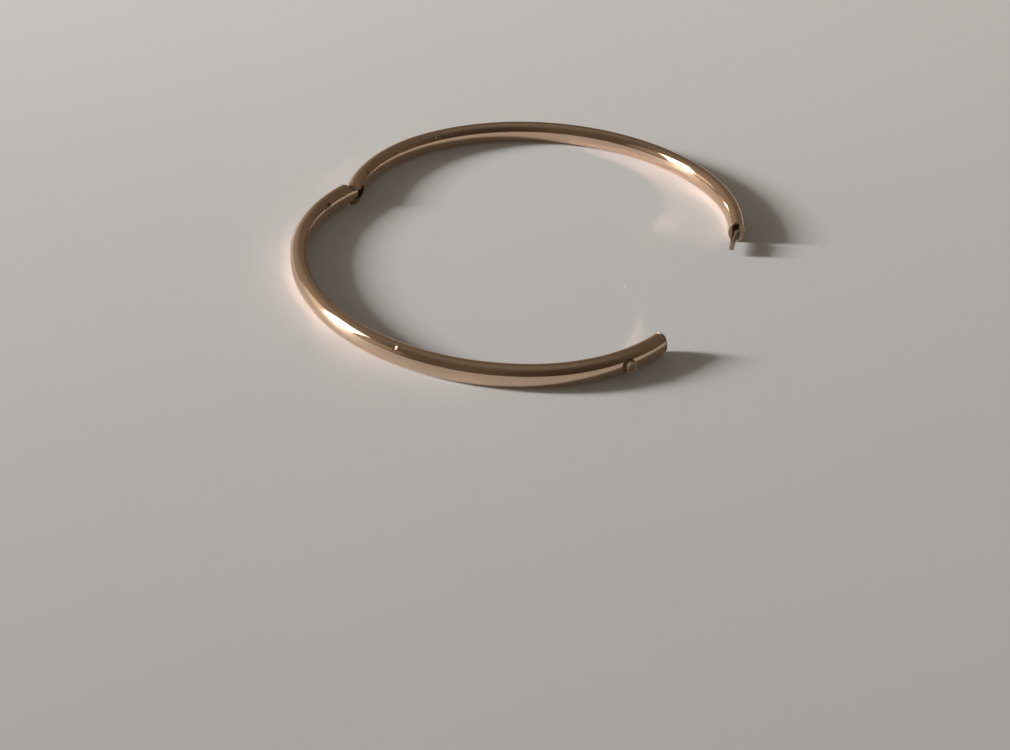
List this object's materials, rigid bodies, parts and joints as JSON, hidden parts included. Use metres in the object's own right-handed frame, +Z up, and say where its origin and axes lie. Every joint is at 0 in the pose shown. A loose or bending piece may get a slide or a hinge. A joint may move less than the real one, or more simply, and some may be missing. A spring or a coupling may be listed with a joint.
{
  "type": "hinged tube bangle",
  "caption": "Plain polished oval-tube bangle in two hinged halves, lying open, with a spring tongue clasp and a push button.",
  "frame": {"origin": "bottom centre of the open bangle's bounding box, on the surface that it lies on", "axes": "+Z up, out of the plane of the bangle; +X from the hinge towards the opening between the two ends; +Y towards the half that carries the spring tongue"},
  "size_m": [0.0619, 0.076, 0.0035],
  "materials": {
    "gold": "mirror polished rose gold",
    "pin_gold": "filed and polished rose gold",
    "spring_gold": "satin rolled strip, a little paler than the tube",
    "button_gold": "polished rose gold"
  },
  "bodies": {
    "near_half": {"near_tube": "gold", "mouth_collar": "gold"},
    "far_half": {"far_tube": "gold", "hinge_pin": "pin_gold", "spring_tongue": "spring_gold"},
    "button": {"push_button": "button_gold"}
  },
  "joints": [
    {"name": "hinge", "type": "hinge", "parent": "near_half", "child": "far_half", "pos_m": [-0.02899, 0.00029, 0.00175], "axis": [0, 0, 1], "range_deg": [-32.8, 2.2]},
    {"name": "button_press", "type": "slide", "parent": "near_half", "child": "button", "axis": [-0.8458, 0.5336, 0], "range_m": [0, 0.00025], "stiffness_N_per_m": 200}
  ]
}
